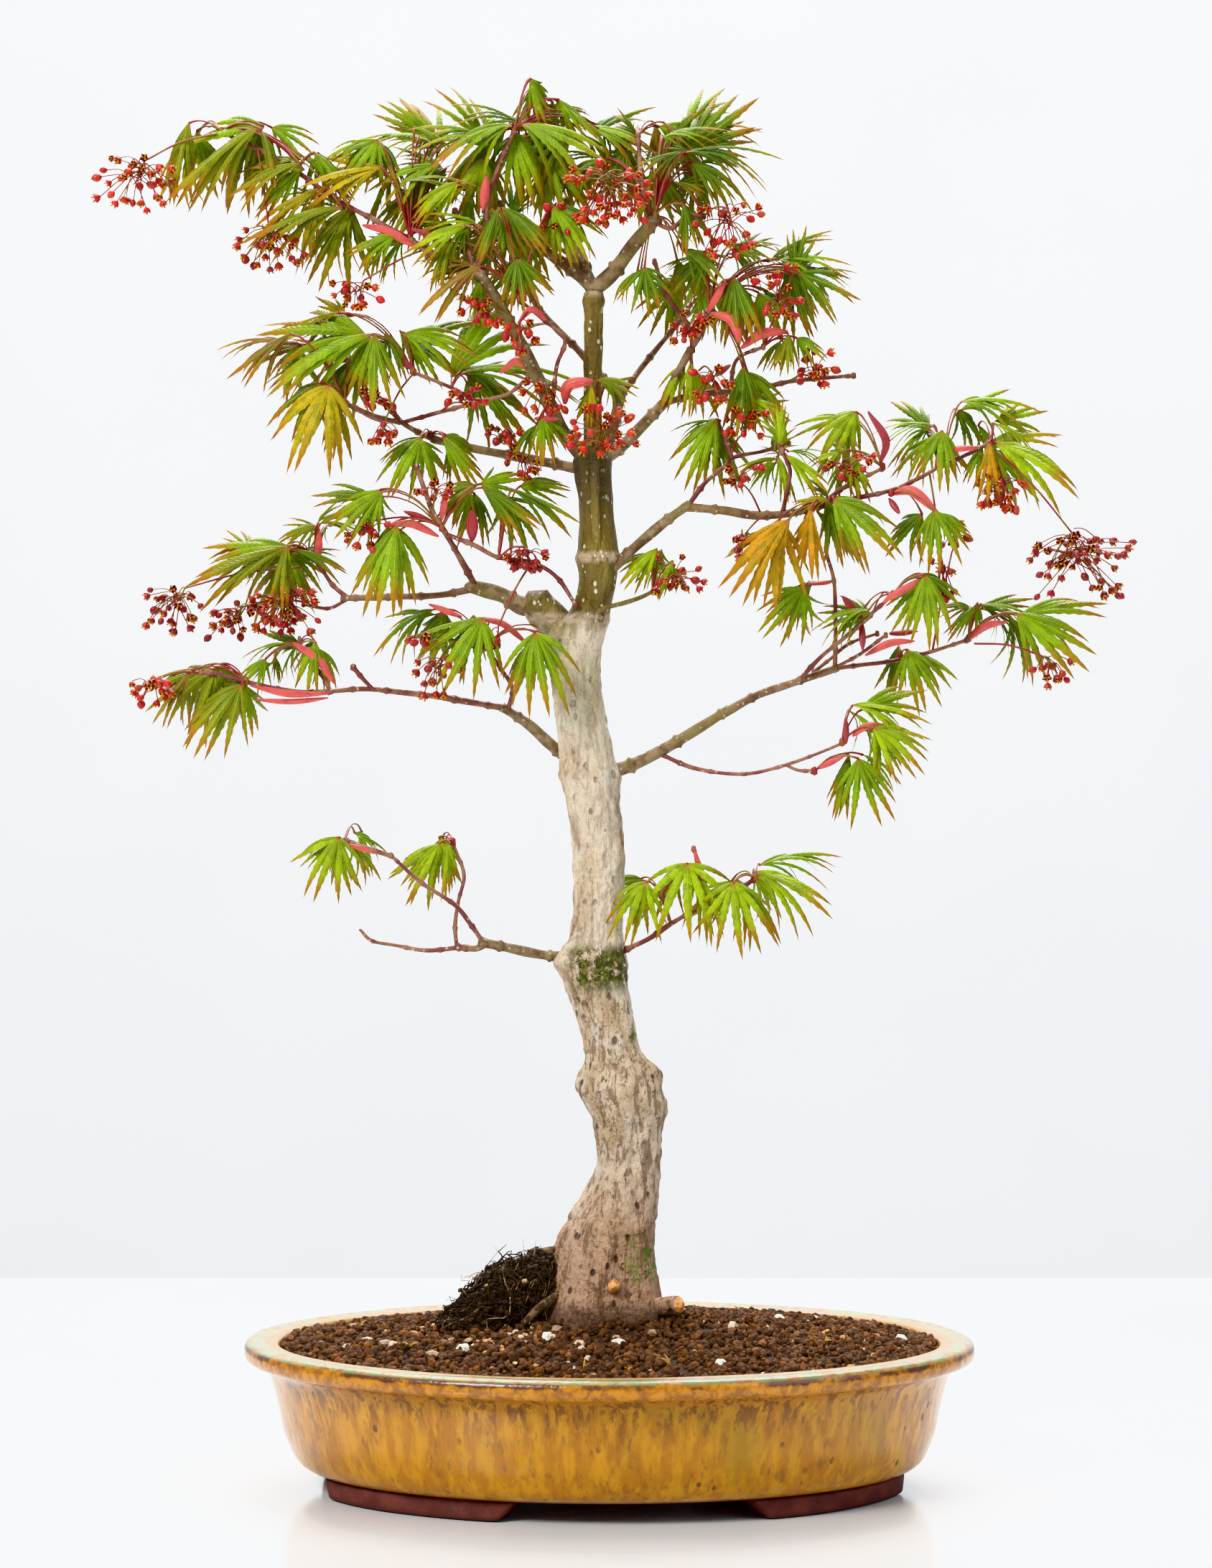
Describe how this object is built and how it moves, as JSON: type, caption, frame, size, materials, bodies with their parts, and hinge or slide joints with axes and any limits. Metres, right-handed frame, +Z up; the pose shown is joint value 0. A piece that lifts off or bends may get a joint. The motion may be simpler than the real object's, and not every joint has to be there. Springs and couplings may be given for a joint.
{
  "type": "bonsai tree in a pot",
  "caption": "Small flowering maple bonsai with palmate leaves and hanging crimson flowers, standing in an oval amber-glazed pot on low clay feet.",
  "frame": {"origin": "middle of the part's plan, on the table under the feet", "axes": "+Z up, +X along the pot's long side, -Y towards the side that the tree is viewed from"},
  "size_m": [0.5054, 0.274, 0.6932],
  "materials": {
    "glazed_pot": "gloss",
    "bare_clay": "matte",
    "mesh_plastic": "matte",
    "clip_wire": "satin",
    "granular_soil": "matte",
    "old_bark": "matte",
    "root_mat": "matte",
    "branch_bark": "matte",
    "maple_leaf": "satin",
    "flower_petal": "satin"
  },
  "bodies": {
    "root": {"pot": "glazed_pot", "foot_front_right": "bare_clay", "foot_front_left": "bare_clay", "foot_back_left": "bare_clay", "foot_back_right": "bare_clay", "drain_screen_left": "mesh_plastic", "screen_clip_left": "clip_wire", "drain_screen_right": "mesh_plastic", "screen_clip_right": "clip_wire", "trunk": "old_bark", "surface_roots": "root_mat", "soil": "granular_soil", "limb_low_left": "branch_bark", "limb_low_right": "branch_bark", "limb_mid_left": "branch_bark", "limb_mid_right": "branch_bark", "limb_long_right": "branch_bark", "limb_upper_right": "branch_bark", "limb_crown": "branch_bark", "limb_left_leader": "branch_bark", "limb_upper_left": "branch_bark", "limb_stub_left": "branch_bark", "limb_back": "branch_bark", "leaves_low_left": "maple_leaf", "leaves_low_left_inner": "maple_leaf", "leaves_low_right_inner": "maple_leaf", "leaves_low_right": "maple_leaf", "leaves_mid_left_tip": "maple_leaf", "leaves_mid_left_upper": "maple_leaf", "leaves_mid_left_inner": "maple_leaf", "leaves_mid_right_low": "maple_leaf", "leaves_mid_right_under": "maple_leaf", "leaves_mid_right_upper": "maple_leaf", "leaves_mid_right_spine": "maple_leaf", "leaves_mid_right_tip": "maple_leaf", "leaves_right_front": "maple_leaf", "leaves_right_middle": "maple_leaf", "leaves_right_rise": "maple_leaf", "leaves_right_tip": "maple_leaf", "leaves_right_second": "maple_leaf", "leaves_upper_right": "maple_leaf", "leaves_crown_right": "maple_leaf", "leaves_crown_top": "maple_leaf", "leaves_crown_inner": "maple_leaf", "leaves_crown_left": "maple_leaf", "leaves_far_left": "maple_leaf", "leaves_upper_left": "maple_leaf", "leaves_upper_left_tip": "maple_leaf", "leaves_left_under": "maple_leaf", "leaves_left_shoot": "maple_leaf", "leaves_left_long": "maple_leaf", "leaves_back": "maple_leaf", "flowers_far_left": "flower_petal", "flowers_crown": "flower_petal", "flowers_left_leader": "flower_petal", "flowers_left_long": "flower_petal", "flowers_left_tip": "flower_petal", "flowers_right_far": "flower_petal", "flowers_right_low": "flower_petal", "flowers_front": "flower_petal"}
  },
  "joints": []
}
